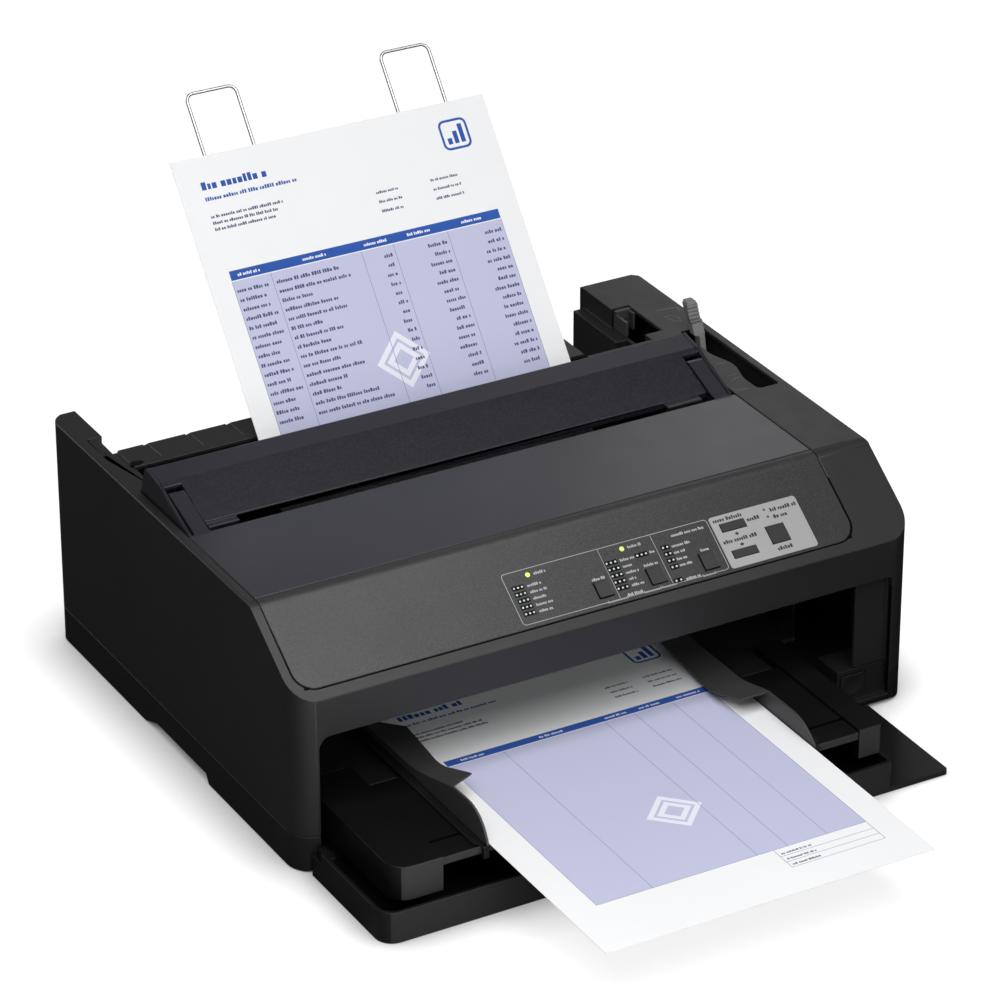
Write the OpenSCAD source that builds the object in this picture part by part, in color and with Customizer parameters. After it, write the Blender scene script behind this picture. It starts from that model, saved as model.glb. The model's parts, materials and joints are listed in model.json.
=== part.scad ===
// Dot matrix printer, desk type, with a front paper guide, a rear sheet
// guide and a hinged smoked cover. Millimetres, +Z up, front towards -Y.

/* [Body] */
// Width of the body over the two sides
body_w = 414; // [412:1:424]
// Height of the flat top deck above the table
deck_h = 150; // [148:0.5:152]
// Wall thickness of the two case shells
wall = 2.6; // [2.2:0.1:3]
// Height of the seam between the lower and the upper case
seam_h = 23; // [22:0.5:24]
// Height of the top edge of the front paper opening
mouth_h = 87; // [84:0.5:88]
// Slope of the front panel above level, in degrees
panel_slope = 35; // [34.5:0.1:35.5]

/* [Covers] */
// Gap round the panel and the covers
gap = 0.6; // [0.4:0.1:0.8]
// Height of the raised rear cover over the deck
hump_rise = 17.3; // [16:0.1:19]
// Radius of the cover's hinge barrels
barrel_r = 5; // [4.6:0.1:5.2]

/* [Paper path] */
// Radius of the platen's rubber
platen_r = 16; // [15:0.1:16.2]
// Lean of the rear sheet above level, in degrees
lean = 51.2; // [50.5:0.1:52]
// Width of the rear sheet
rear_sheet_w = 216; // [190:1:217]
// Length of the rear sheet's straight part
rear_sheet_l = 228; // [200:1:229]
// Length of the sheet lying on the front guide
front_sheet_l = 300; // [240:1:310]
// Thickness of the sheets
sheet_t = 0.3; // [0.2:0.1:0.3]
// Diameter of the wire sheet supports
wire_d = 2; // [1.6:0.1:2]

/* [Mechanism] */
// Radius of the carriage rod
rod_r = 4; // [3.5:0.1:4.5]
// Radial clearance of the turning shafts
run_c = 0.05; // [0.03:0.01:0.08]
// Gear module of the paper feed train
gear_m = 1; // [1:0.05:1]
// Pitch radius of the belt pulleys
pulley_r = 8; // [7.5:0.1:8]

/* [Keys] */
// Height of a key above the panel
key_rise = 0.9; // [0.5:0.1:1.4]
// Gap round a key
key_gap = 0.35; // [0.25:0.05:0.5]

/* [Hidden] */

xl = -body_w/2;
xr = body_w/2;
y0 = -13;                      // front face
y1 = 310.3;                    // rear face
ps = panel_slope;
pz = 120.4 + (deck_h - 150);   // height of the panel plane at y = 0
bend_r = 13;                    // radius of the bend between panel and deck
yb = (deck_h - pz)/tan(ps);    // where the panel plane meets the deck
tb = bend_r*tan(ps/2);
cxl = xl + 5.7;                // left edge of the panel and covers opening
cxr = xr - 36.5;               // right edge of that opening
ylip = 46.7;                   // rear end of the front panel
yc0 = 47.5;                    // front edge of the smoked cover
yh0 = 133;                     // front end of the raised cover
yh1 = 196.5;                    // rear end of the raised cover
yd0 = 225;                     // front edge of the rear deck
yd1 = 249.5;                   // rear edge of the rear deck
hz = deck_h + hump_rise;       // top of the raised cover
by = 164.5;                    // hinge barrel of the smoked cover
bz = deck_h + 6;
py = 166;                      // platen axis
pzz = 110;
key_y = py + 15;               // feed motor axis
idl = [py + 15, pzz - 25.98];
pin = [py + 15, pzz - 43.98];
lev = [190, 70];               // lever pivot
su = [cos(lean), sin(lean)];   // direction up the rear sheet
sn = [-sin(lean), cos(lean)];  // its front normal
sb = [220, 151];               // point on the rear sheet's back face
gy = 232;                      // sheet guide hinge axis
gz = 155.2;
wx = [-84, -50.4, 49.6, 83.2];  // legs of the wire supports
hu = (gy - sb[0])*su[0] + (gz - sb[1])*su[1];
hn = (gy - sb[0])*sn[0] + (gz - sb[1])*sn[1];
ax_l = -190;                   // gear side
// bounding box of the whole machine, used to centre it on the origin
ymin = -215.4;
wu = 217;                       // top of the wire supports up the sheet
wyc = sb[0] + wu*su[0] - 8*sn[0];
ymax = wyc + wire_d/2;
knob_x = xr + 13;
ox = -(xl + knob_x)/2;
oy = -(ymin + ymax)/2;

screw_x = [xl + 10, xr - 10];
screw_y = [30, 280];

function arc(cx, cy, r, a, b, n = 12) =
  [for (i = [0:n]) [cx + r*cos(a + (b - a)*i/n), cy + r*sin(a + (b - a)*i/n)]];
// rounded rectangle, radii for the corners in order: low-left, low-right, high-right, high-left
function rrect(a, b, c, d, r) = concat(
  arc(a + r[0], c + r[0], r[0], 180, 270, 8), arc(b - r[1], c + r[1], r[1], 270, 360, 8),
  arc(b - r[2], d - r[2], r[2], 0, 90, 8), arc(a + r[3], d - r[3], r[3], 90, 180, 8));
// gear outline with n teeth of module m, a tooth centred at angle p
function gear_pts(n, m, p) = [for (i = [0:n - 1], k = [0:3])
  let (q = 360/n, rr = n*m/2,
       a = p + i*q + [-0.30, -0.13, 0.13, 0.30][k]*q,
       r = [rr - 1.2*m, rr + 0.9*m, rr + 0.9*m, rr - 1.2*m][k])
  [r*cos(a), r*sin(a)]];
// phase of a gear with nb teeth in mesh with one of na teeth and phase pa, al from the first to it
function mesh_phase(na, nb, pa, al) = al + 180 + 180/nb - (pa - al)*na/nb;

module org() { translate([ox, oy, 0]) children(); }
module yz(xa, xb) { translate([xa, 0, 0]) rotate([90, 0, 90]) linear_extrude(xb - xa) children(); }
module xz(ya, yb_) { translate([0, yb_, 0]) rotate([90, 0, 0]) linear_extrude(yb_ - ya) children(); }
module xy(za, zb) { translate([0, 0, za]) linear_extrude(zb - za) children(); }
module box(a, b) { translate(a) cube(b - a); }
module panel_frame() { translate([0, 0, pz]) rotate([ps, 0, 0]) children(); }
module sheet_frame() { translate([0, sb[0], sb[1]]) rotate([lean, 0, 0]) children(); }
module rod_x(xa, xb, y, z, r) { translate([xa, y, z]) rotate([0, 90, 0]) cylinder(h = xb - xa, r = r, $fn = 48); }
module rod_z(x, y, za, zb, r, n = 48) { translate([x, y, za]) cylinder(h = zb - za, r = r, $fn = n); }

// side profile of the upper case, inset by w
function side_pts(w, zb) = concat(
  [[y0 + w, zb]],
  let (r = max(1.8 - w, 0.1), c = w + r) arc(y0 + c, pz + (y0 + c)*tan(ps) - c/cos(ps), r, 180, 90 + ps, 5),
  arc(yb + tb, deck_h - bend_r, bend_r - w, 90 + ps, 90, 10),
  arc(y1 - 1.4, deck_h - 1.4, 1.4 - min(w, 1.3), 90, 0, 6),
  [[y1 - w, zb]]);
function plan_pts(w) = rrect(xl + w, xr - w, y0 + w, y1 - w, [for (r = [16, 17, 9, 12]) r - w]);
function face_pts(w, zb) = concat([[xl + w, zb], [xr - w, zb]],
  arc(xr - 1.4, deck_h - 1.4, 1.4 - min(w, 1.3), 0, 90, 6), arc(xl + 1.4, deck_h - 1.4, 1.4 - min(w, 1.3), 90, 180, 6));
// left edge of the lever slot at y, bulging between two notches
function slot_x(y) = 186.5 + (abs(y - 167) < 22 ? 2.3*(1 + cos(180*(y - 167)/22)) : 0);

module shell_form(w, zb) {
  intersection() {
    yz(xl - 1, xr + 1) polygon(side_pts(w, zb));
    xy(zb - 1, deck_h + 5) polygon(plan_pts(w));
    xz(y0 - 1, y1 + 1) polygon(face_pts(w, zb));
  }
}

module upper_case() { color([0.13, 0.13, 0.14]) org() {
  difference() {
    union() {
      difference() {
        shell_form(0, seam_h + 0.3);
        difference() {
          intersection() {
            shell_form(wall, seam_h - 1);
            box([xl, y0, seam_h - 2], [xr, y1, deck_h - wall]);
          }
          // ledge under the front panel
          panel_frame() box([cxl - 2, -12, -6], [cxr + 2, 54, -2.7]);
        }
      }
      // rear well between the ears
      box([-192.6, yd1 - wall, 96], [cxr - 3, y1 - 1, 98.5]);
      box([-192.6, yd1 - wall, 96], [118, yd1, deck_h - 1]);
      box([115.4, 219, 96], [cxr - 3, 221.6, deck_h - 3]);
      box([115.4, 219, 96], [118, yd1, deck_h - 1]);
      box([-192.6, yd1 - wall, 96], [-190, y1 - 1, deck_h - 1]);
      box([165, 219, 96], [167.6, y1 - 1, deck_h - 1]);
      box([115.4, 219, 96], [cxr - 3, yd1, 98.5]);
      // inner cheek of the right ear
      box([157, yd1 + 2, 98], [166, 305, 137]);
      // end stop of the front opening at the right
      box([169, y0 + 4.7, 27.8], [xr - 13, y0 + 7.3, mouth_h + 3]);
      box([xr - 15.3, y0 + 1, seam_h + 0.3], [xr - 12.7, 18, mouth_h + 3]);
      box([xl + 12, y0 + 1, seam_h + 0.3], [xl + 14.5, 18, mouth_h + 3]);
      // ledges beside the smoked cover
      box([cxl - 4, 50, deck_h - 5.6], [cxl + 2.4, 197.5, deck_h - 2.5]);
      box([cxr - 2.4, 50, deck_h - 5.6], [cxr + 2, 197.5, deck_h - 2.5]);
      // bosses for the case screws
      intersection() {
        for (x = screw_x, y = screw_y) rod_z(x, y, seam_h + 1, deck_h - 1, 5);
        shell_form(1, seam_h);
      }
      // lugs and stub pins of the sheet guide
      for (k = [[-103, -98.5, -98.6, -90], [92.5, 97, 84, 92.6]]) {
        yz(k[0], k[1]) polygon(concat([[227, deck_h - 1], [237, deck_h - 1]], arc(gy, gz, 4.2, 10, 170, 8)));
        rod_x(k[2], k[3], gy, gz, 1.5);
      }
    }
    // window under the front panel
    panel_frame() box([cxl + 4, -7.1, -9], [cxr - 4, 50, 0.2]);
    box([cxl + 2.4, 34, deck_h - 12], [cxr - 2.4, 130, deck_h + 2]);
    // seat of the front panel
    intersection() {
      panel_frame() xy(-3.4, 20) polygon(rrect(cxl, cxr, -8.5, 90, [13, 13, 0.01, 0.01]));
      box([xl, -20, 90], [xr, yc0 - 0.3, deck_h + 10]);
    }
    // opening for the covers and the rear paper slot
    box([cxl, ylip - 4, deck_h - 3.4], [cxr, 197.5, deck_h + 3]);
    box([cxl + 2.4, 126, deck_h - 12], [cxr - 2.4, 197.5, deck_h + 3]);
    box([-190, 196, deck_h - 12], [118, yd0, deck_h + 3]);
    // front paper opening
    xz(y0 - 2, y0 + 3.5) polygon(rrect(xl + 14.5, xr - 15.3, seam_h - 10, mouth_h, [0.01, 0.01, 4, 7]));
    // rear well, open at the top and the rear
    box([-190, yd1, 98.5], [165, y1 + 2, deck_h + 3]);
    box([118, 221.6, 98.5], [165, yd1 + 1, deck_h + 3]);
    // lower ledge beside the left strip, cut back behind the deck
    box([xl + 6.5, 197.5, deck_h - 1.3], [-189.9, 270.8, deck_h + 1]);
    xy(143, deck_h + 1) polygon([[-193, yd1 - 0.1], [-189.9, yd1 - 0.1], [-189.9, 270.8], [-192.6, 270.8]]);
    // notch of the right ear
    box([164.9, 230, 137], [177.6, 271.6, deck_h + 3]);
    // hole in the rear deck beside the raised cover
    translate([-187, 229.2, deck_h - 5]) scale([1, 0.62, 1]) cylinder(h = 8, r = 4.6, $fn = 32);
    // lever slot
    xy(deck_h - 4, deck_h + 1) polygon(concat([[xr - 7, 131.4], [xr - 5.6, 132.8], [xr - 5.6, 222], [xr - 20.5, 222]],
      [for (y = [190:-4:138]) [slot_x(y), y]], arc(xr - 16.9, 135, 3.6, 180, 270, 6)));
    // stepped grooves in the rear deck
    for (x = [-171, -143, -116]) {
      box([x, yd0 + 6, deck_h - 0.8], [x + 1, yd1 + 1, deck_h + 1]);
      box([x - 2.2, yd1 - 7, deck_h - 0.8], [x + 1, yd1 + 1, deck_h + 1]);
    }
    // way for the knob shaft
    rod_x(xr - 6, xr + 1, py, pzz, 5);
    // bores for the case screws
    for (x = screw_x, y = screw_y) rod_z(x, y, seam_h, 38, 1.95);
    // rear sockets
    box([-128, y1 - 4, 36], [-62, y1 + 1, 54]);
    box([116, y1 - 4, 34], [146, y1 + 1, 56]);
    // rear vents
    for (i = [0:11]) box([-30 + i*9, y1 - 4, 60], [-26 + i*9, y1 + 1, 84]);
  }
  // cheek restored where the well was cleared
  box([157, yd1 + 2, 98], [165.2, 305, 137]);
  // facet that runs down from the left ear
  intersection() {
    yz(-201, -190) polygon([[248.5, deck_h - 1.8], [248.5, deck_h - 1.3], [270.9, deck_h], [270.9, deck_h - 2]]);
    xy(deck_h - 3, deck_h + 1) polygon([[-199.2, 270.9], [-191.2, 270.9], [-197.4, 249], [-200.2, 248.6]]);
  }
} }

module lower_case() { color([0.11, 0.11, 0.12]) org() {
  difference() {
    union() {
      difference() {
        intersection() {
          xy(0.3, seam_h) polygon(plan_pts(0));
          yz(xl - 1, xr + 1) polygon(concat(arc(y0 + 4.5, 4.8, 4.5, 180, 270, 8), arc(y1 - 7, 7.3, 7, 270, 360, 8),
            [[y1, seam_h + 1], [y0, seam_h + 1]]));
        }
        difference() {
          xy(-1, seam_h + 1) polygon(plan_pts(wall));
          box([xl, y0, 6.5], [xr, y1, 9]);
        }
      }
      // block behind the power switch
      box([158, y0 + 4.7, 6.5], [xr - 8, 14, seam_h - 0.4]);
      box([157, y0 + 1.5, 3.6], [xr - 15, y0 + 8, 6.5]);
      box([158, y0 + 4.7, seam_h - 1], [xr - 15.9, 14, 27.2]);
      // bosses under the frames
      for (x = [-179, 165], y = [84, 214]) rod_z(x, y, 6.5, 9.2, 6);
      // locating lip inside the seam
      difference() {
        union() {
          xy(seam_h - 6, seam_h) polygon(plan_pts(wall - 0.1));
          xy(seam_h - 1, seam_h + 2.5) polygon(plan_pts(wall + 0.35));
        }
        xy(seam_h - 7, seam_h + 3) polygon(plan_pts(wall + 1.9));
        box([xl, y0 - 1, 9], [xr, 40, seam_h + 4]);
      }
      // pillars for the case screws
      for (x = screw_x, y = screw_y) rod_z(x, y, 6.5, seam_h + 0.6, 5);
    }
    // front paper opening
    box([xl + 14.5, y0 - 2, 9], [158 - 0.3, y0 + 17, seam_h + 1]);
    box([157.6, y0 - 2, 6.2], [xr - 15.3, y0 + 4.7, seam_h + 1]);
    // finger recess along both sides
    for (x = [xl - 1, xr - 8]) yz(x, x + 9) polygon([[102, -1], [106, 6], [172, 6], [191, -1]]);
    // pocket of the power button
    box([160, y0 + 4, 9.3], [178, 9, 23.9]);
    // screw holes
    for (x = [-179, 165], y = [84, 214]) rod_z(x, y, 6, 9.5, 1.8);
    for (x = screw_x, y = screw_y) rod_z(x, y, 5, seam_h + 2, 2.1);
  }
} }

module front_panel() { color([0.22, 0.22, 0.23]) org() {
  difference() {
    intersection() {
      difference() {
        yz(cxl + gap/2, cxr - gap/2) polygon(side_pts(0, 90));
        yz(cxl - 1, cxr + 1) polygon(side_pts(2.4, 80));
      }
      panel_frame() xy(-8, 8) polygon(rrect(cxl + gap, cxr - gap, -8.5 + gap, 90, [12.4, 12.4, 0.01, 0.01]));
      box([xl, -10, 90], [xr, ylip, deck_h + 1]);
    }
    panel_frame() for (k = keys()) box([k[0] - key_gap, k[2] - key_gap, -9], [k[1] + key_gap, k[3] + key_gap, 3]);
    panel_frame() for (l = leds()) translate([l[0], l[1], -4]) cylinder(h = 8, r = l[2] + 0.02, $fn = 16);
  }
} }

// keys: x from, x to, up the slope from, to
function keys() = [[88.7, 105.2, 17.7, 22.9], [88.4, 104.8, -0.3, 4.6], [115.8, 128.0, 2.1, 13.6],
  [-3.5, 5.6, -1.5, 8.3], [31.4, 41.1, -2.3, 8.0], [67.4, 77.0, -2.3, 8.1]];
// indicator lenses: x, up the slope, radius
function leds() = concat(
  [[-39.7, 24.6, 1.5], [23.2, 24.7, 1.5]],
  [for (i = [0:4], j = [0:2]) [-51.5 + j*2.6, 18.4 - i*4.27, 0.62]],
  [for (i = [0:4], j = [0:2]) [9.9 + j*2.9, 18.1 - i*4.23, 0.62]],
  [for (i = [0:3], j = [0:1]) [48.2 + j*2.8, 18.4 - i*4.43, 0.62]],
  [for (j = [0:2]) [30.6 + j*2.9, 18.0, 0.62]],
  [[46.6, -3.7, 0.62], [49.8, -3.7, 0.62], [120.5, 24.7, 0.8], [120.8, 19.8, 0.8]]);

module key_plate() { color([0.66, 0.66, 0.67]) org() {
  panel_frame() difference() {
    xy(0.05, 0.45) polygon(rrect(83.5, 143.4, -6.2, 28.7, [2, 2, 2, 2]));
    for (k = [for (i = [0:2]) keys()[i]]) box([k[0] - key_gap, k[2] - key_gap, -1], [k[1] + key_gap, k[3] + key_gap, 3]);
    for (l = leds()) translate([l[0], l[1], -4]) cylinder(h = 8, r = l[2] + 0.02, $fn = 16);
  }
} }

module led_lenses() { color([0.75, 0.85, 0.35]) org() {
  panel_frame() for (l = leds()) translate([l[0], l[1], -2.3]) cylinder(h = 2.3 + (l[0] > 85 ? 0.6 : 0.25), r = l[2], $fn = 16);
} }

module control_board() { color([0.1, 0.3, 0.2]) org() {
  panel_frame() {
    box([-58, -6.5, -9.6], [146.5, 30, -8]);
    for (k = keys()) translate([(k[0] + k[1])/2, (k[2] + k[3])/2, -8.1]) cylinder(h = 1.6, r = 1.9, $fn = 24);
    box([-31, 9, -8.1], [-11, 23, -6.2]);
  }
} }

module one_key(i) {
  k = keys()[i];
  cx = (k[0] + k[1])/2; cy = (k[2] + k[3])/2;
  panel_frame() {
    xy(-2.2, key_rise) polygon(rrect(k[0], k[1], k[2], k[3], [0.7, 0.7, 0.7, 0.7]));
    box([k[0] - 0.2, k[2] - 0.2, -4.2], [k[1] + 0.2, k[3] + 0.2, -2.9]);
    translate([cx, cy, -4.6]) cylinder(h = 3, r = 1.6, $fn = 24);
    box([k[0] + 0.3, k[2] + 0.3, -3], [k[1] - 0.3, k[3] - 0.3, -2]);
  }
}
module load_key() { color([0.17, 0.17, 0.18]) org() one_key(0); }
module feed_key() { color([0.17, 0.17, 0.18]) org() one_key(1); }
module pause_key() { color([0.17, 0.17, 0.18]) org() one_key(2); }
module key_one() { color([0.17, 0.17, 0.18]) org() one_key(3); }
module key_two() { color([0.17, 0.17, 0.18]) org() one_key(4); }
module key_three() { color([0.17, 0.17, 0.18]) org() one_key(5); }

module power_button() { color([0.12, 0.12, 0.13]) org() {
  difference() {
    box([160.4, y0 + 4.2, 9.7], [177.6, 6.5, 23.5]);
    // finger dish
    translate([169, y0 - 24, 16.6]) sphere(r = 28.9, $fn = 96);
  }
} }

// side outline of the raised cover, inset by w
function hump_pts(w) = concat(
  [[141 + w*1.2, deck_h - 3.3]], [[141 + w*1.2, deck_h + 1.2 - w*0.25]],
  arc(174.6 + w*0.2, hz - 5.6, 3 - w, 111, 100, 3),
  arc(188.6, hz - 2.6, 2.6 - w, 96, 8, 6),
  [[yh1 - w*1.05, deck_h - 0.5], [yh1 - w*1.05, deck_h - 3.3]]);
module hump_cover() { color([0.16, 0.16, 0.19]) org() {
  difference() {
    union() {
      difference() {
        yz(cxl + 1.6, cxr - 1.4) polygon(hump_pts(0));
        yz(cxl, cxr) polygon(concat([[141 + 3, deck_h - 5]], [for (p = hump_pts(2.3)) p], [[yh1 - 2.4, deck_h - 5]]));
      }
      // end caps, longer than the face at the front
      for (x = [[cxl + 1.4, cxl + 3.8], [cxr - 3.6, cxr - 1.2]]) yz(x[0], x[1]) polygon(concat(
        [[yh0 + 0.4, deck_h - 3.3]], [[yh0 + 0.4, deck_h - 0.4]], [[141, deck_h + 2]],
        arc(174.6, hz - 5.2, 3, 115, 98, 3), arc(188.6, hz - 2.3, 2.6, 96, 8, 6), [[yh1 + 0.3, deck_h - 0.5], [yh1 + 0.3, deck_h - 3.3]]));
      // small tabs in the paper exit slot
      box([cxl + 16, 136.4, deck_h - 3.4], [cxl + 36, 142.2, deck_h - 0.2]);
      box([cxr - 45, 136.4, deck_h - 3.4], [cxr - 21, 142.2, deck_h - 0.2]);
      // lugs that carry the cover pins
      for (x = [cxl + 15.2, cxr - 17.2]) yz(x, x + 2) polygon([[156, deck_h - 3], [156, bz + 2], [166, bz + 3.6], [177, bz + 6], [177, deck_h - 3]]);
    }
    // room for the two hinge arms
    for (x = [[cxl + 3.8, cxl + 15.2], [cxr - 15.2, cxr - 3.6]]) yz(x[0], x[1]) polygon(concat(
      [[130, deck_h - 6], [130, deck_h + 20], [by + barrel_r + 0.7, deck_h + 20]],
      arc(by, bz, barrel_r + 0.7, 0, -90, 8), [[by - 8, deck_h - 6]]));
    // pin bores
    for (x = [cxl + 1, cxr - 20]) rod_x(x, x + 19.5, by, bz, 1.6 + run_c);
  }
} }

module ear_bracket() { color([0.3, 0.3, 0.31]) org() {
  // latch plate in the notch of the right ear
  difference() {
    union() {
      box([166.2, 267.4, 137.05], [177.2, 270.2, deck_h - 0.6]);
      box([166.2, 255, 137.05], [168.2, 268, deck_h - 3]);
      box([175.4, 262, 137.05], [177.2, 268, deck_h - 1.4]);
    }
    box([169.4, 264, 139.6], [174.2, 272, 143]);
  }
} }

module side_plate(x, t) {
  difference() {
    union() {
      yz(x, x + t) polygon([[62, 9.3], [232, 9.3], [232, 66], [215, 94], [206, 128], [196, 140], [120, 140], [96, 118], [62, 104]]);
      for (y = [74, 204]) box([x > 0 ? x - 12 : x, y, 9.3], [x > 0 ? x + t : x + 12 + t, y + 20, 9.3 + t]);
    }
    rod_x(x - 1, x + t + 1, py, pzz, 7.02);
    rod_x(x - 1, x + t + 1, 118, 96, rod_r + 0.02);
    rod_x(x - 1, x + t + 1, pin[0], pin[1], 5.5);
    rod_x(x - 1, x + t + 1, py, pzz - platen_r - 7.3, 2.6);
    for (y = [84, 214]) rod_z(x > 0 ? 165 : -179, y, 8, 12, 1.9);
    yz(x - 1, x + t + 1) polygon(rrect(100, 140, 30, 62, [4, 4, 4, 4]));
  }
}
module frame_left() { color([0.6, 0.6, 0.62]) org() {
  side_plate(-186, 1.6);
  // idler stud
  rod_x(-196.8, -185.8, idl[0], idl[1], 2.5);
} }
module frame_right() { color([0.6, 0.6, 0.62]) org() {
  side_plate(171, 1.6);
  // stud of the release lever
  rod_x(172.4, 199, lev[0], lev[1], 3);
  rod_x(198.2, 199.4, lev[0], lev[1], 4.4);
} }

module carriage_rod() { color([0.78, 0.78, 0.8]) org() rod_x(-187.4, 174, 118, 96, rod_r); }
module carriage_rail() { color([0.62, 0.62, 0.64]) org()
  yz(-184.3, 170.9) polygon([[64, 84], [74, 84], [74, 85.4], [65.6, 85.4], [65.6, 96], [64, 96]]);
}
module carriage_motor() { color([0.35, 0.35, 0.37]) org() {
  rod_z(-160, 104, 44, 74, 17, 64);
  box([-184.3, 86, 74], [-142, 122, 75.6]);
  rod_z(-160, 104, 75, 77, 9);
  rod_z(-160, 104, 76.9, 90, 2);
  rod_z(-160, 104, 40, 44.1, 6);
} }
module pulley_bracket() { color([0.6, 0.6, 0.62]) org() {
  box([140, 92, 74], [170.8, 116, 75.6]);
  rod_z(150, 104, 75.5, 90, 2);
  box([169.4, 92, 60], [170.8, 116, 75.6]);
} }
module timing_belt() { color([0.08, 0.08, 0.08]) org() {
  difference() {
    union() {
      rod_z(-160, 104, 80, 86, pulley_r + 1.4, 64); rod_z(150, 104, 80, 86, pulley_r + 1.4, 64);
      box([-160, 104 - pulley_r - 1.4, 80], [150, 104 + pulley_r + 1.4, 86]);
    }
    rod_z(-160, 104, 79, 87, pulley_r + 0.1, 64); rod_z(150, 104, 79, 87, pulley_r + 0.1, 64);
    box([-160, 104 - pulley_r - 0.1, 79], [150, 104 + pulley_r + 0.1, 87]);
  }
} }
module pulley(x) {
  difference() {
    union() {
      rod_z(x, 104, 79.6, 86.4, pulley_r, 64);
      rod_z(x, 104, 78.4, 79.6, pulley_r + 2, 64);
      rod_z(x, 104, 86.4, 87.6, pulley_r + 2, 64);
    }
    rod_z(x, 104, 78, 88, 2 + run_c);
  }
}
module motor_pulley() { color([0.75, 0.7, 0.5]) org() pulley(-160); }
module idler_pulley() { color([0.3, 0.3, 0.32]) org() pulley(150); }

module feed_motor() { color([0.35, 0.35, 0.37]) org() {
  rod_x(-184.3, -162, pin[0], pin[1], 16);
  rod_x(-187.4, -184.2, pin[0], pin[1], 5.4);
  rod_x(-196.6, -187.3, pin[0], pin[1], 1.5);
} }
module pressure_plate() { color([0.6, 0.6, 0.62]) org() {
  // sprung bar under the pressure rollers
  yz(-184.3, 170.9) polygon([[158.6, 68], [160, 68], [160, 78], [158.6, 78]]);
  yz(-150, 150) polygon([[158.6, 68], [177, 68], [177, 69.4], [158.6, 69.4]]);
  for (x = [-120, -40, 40, 120]) difference() {
    yz(x - 1.5, x + 1.5) polygon([[160, 69], [171, 69], [170, 90], [162, 90]]);
    rod_x(x - 3, x + 3, py, pzz - platen_r - 7.3, 2.6);
  }
} }
module inner_front_guide() { color([0.1, 0.1, 0.1]) org() {
  yz(-154.2, 120.2) polygon([[3, 9.1], [5, 9.1], [5, 31.4], [6.4, 32.6], [40, 32.6], [40, 35], [5.6, 35], [3, 32.4]]);
  yz(-184.2, 152) polygon([[30, 32.6], [113, 32.6], [113, 35], [30, 35]]);
  yz(-184.2, 152) polygon(concat([for (i = [0:10]) let (a = i*8) [112 + 37*sin(a), 79 - 44*cos(a)]],
    [for (i = [10:-1:0]) let (a = i*8) [112 + 39.4*sin(a), 79 - 46.4*cos(a)]]));
  for (x = [-110, -70, -30, 10, 50]) box([x, 8, 34.9], [x + 1.6, 100, 36]);
} }
module paper_pan() { color([0.55, 0.55, 0.57]) org()
  yz(-184.2, 170.8) polygon(concat(arc(py, pzz, platen_r + 3.4, -16, -62, 12), arc(py, pzz, platen_r + 4.6, -62, -16, 12)));
}
module platen_bushes() { color([0.9, 0.88, 0.8]) org() for (x = [-186, 171]) difference() {
  union() { rod_x(x, x + 1.6, py, pzz, 7); rod_x(x > 0 ? x + 1.6 : x - 1.2, x > 0 ? x + 2.8 : x, py, pzz, 8.6); }
  rod_x(x - 4, x + 5, py, pzz, 4 + run_c);
} }
module platen_roller() { color([0.09, 0.09, 0.09]) org() difference() {
  rod_x(-176, 163, py, pzz, platen_r);
  rod_x(-177, 164, py, pzz, 4);
} }
module platen_shaft() { color([0.75, 0.75, 0.77]) org() rod_x(-199, xr + 9, py, pzz, 4); }
module platen_gear() { color([0.88, 0.86, 0.78]) org() difference() {
  yz(-196.4, -190.4) translate([py, pzz]) polygon(gear_pts(36, gear_m, -60));
  rod_x(-197, -190, py, pzz, 4);
} }
module platen_knob() { color([0.12, 0.12, 0.13]) org() difference() {
  union() {
    rod_x(xr + 0.8, xr + 3, py, pzz, 12);
    yz(xr + 3, knob_x) translate([py, pzz]) polygon([for (i = [0:59]) let (r = (i % 2 == 0) ? 13 : 12.2) [r*cos(i*6), r*sin(i*6)]]);
  }
  rod_x(xr, xr + 9, py, pzz, 4);
} }
module idler_gear() { color([0.88, 0.86, 0.78]) org() difference() {
  yz(-196.4, -190.4) translate(idl) polygon(gear_pts(24, gear_m, mesh_phase(36, 24, -60, -60)));
  rod_x(-197, -190, idl[0], idl[1], 2.5 + run_c);
} }
module feed_pinion() { color([0.88, 0.86, 0.78]) org() difference() {
  yz(-196.4, -190.4) translate(pin) polygon(gear_pts(12, gear_m, mesh_phase(24, 12, mesh_phase(36, 24, -60, -60), -90)));
  rod_x(-197, -190, pin[0], pin[1], 1.5 + run_c);
} }
module pressure_rollers() { color([0.12, 0.12, 0.12]) org() {
  rod_x(-187, 173, py, pzz - platen_r - 7.3, 2.5);
  for (x = [-100, -20, 60]) rod_x(x, x + 40, py, pzz - platen_r - 7.3, 7);
} }

module carriage() { color([0.2, 0.2, 0.21]) org() difference() {
  union() {
    box([-140, 77, 88.5], [-96, 132, 101]);
    rod_x(-140, -96, 118, 96, 8);
    box([-134, 60.5, 98], [-102, 80, 101]);
    box([-134, 60.5, 86], [-102, 62.8, 100]);
    // belt clamp
    box([-124, 86, 77], [-112, 98.4, 89]);
  }
  rod_x(-141, -95, 118, 96, rod_r + run_c);
  box([-141, 100, 101], [-95, 135, 106]);
  box([-125, 104 - pulley_r - 1.8, 79.6], [-111, 104 - pulley_r + 0.3, 86.4]);
} }
module print_head() { color([0.25, 0.25, 0.27]) org() difference() {
  union() {
    // body with cooling ribs
    for (i = [0:5]) box([-132, 84 + i*5, 101], [-104, 86.6 + i*5, 119]);
    box([-128, 84, 101.02], [-108, 122, 116]);
    box([-134, 104, 101.01], [-102, 130, 104]);
    // nose
    yz(-124, -112) polygon([[121, 102], [134, 104.5], [148.6, 108.6], [148.6, 111.6], [134, 114], [121, 115.6]]);
  }
} }
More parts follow.
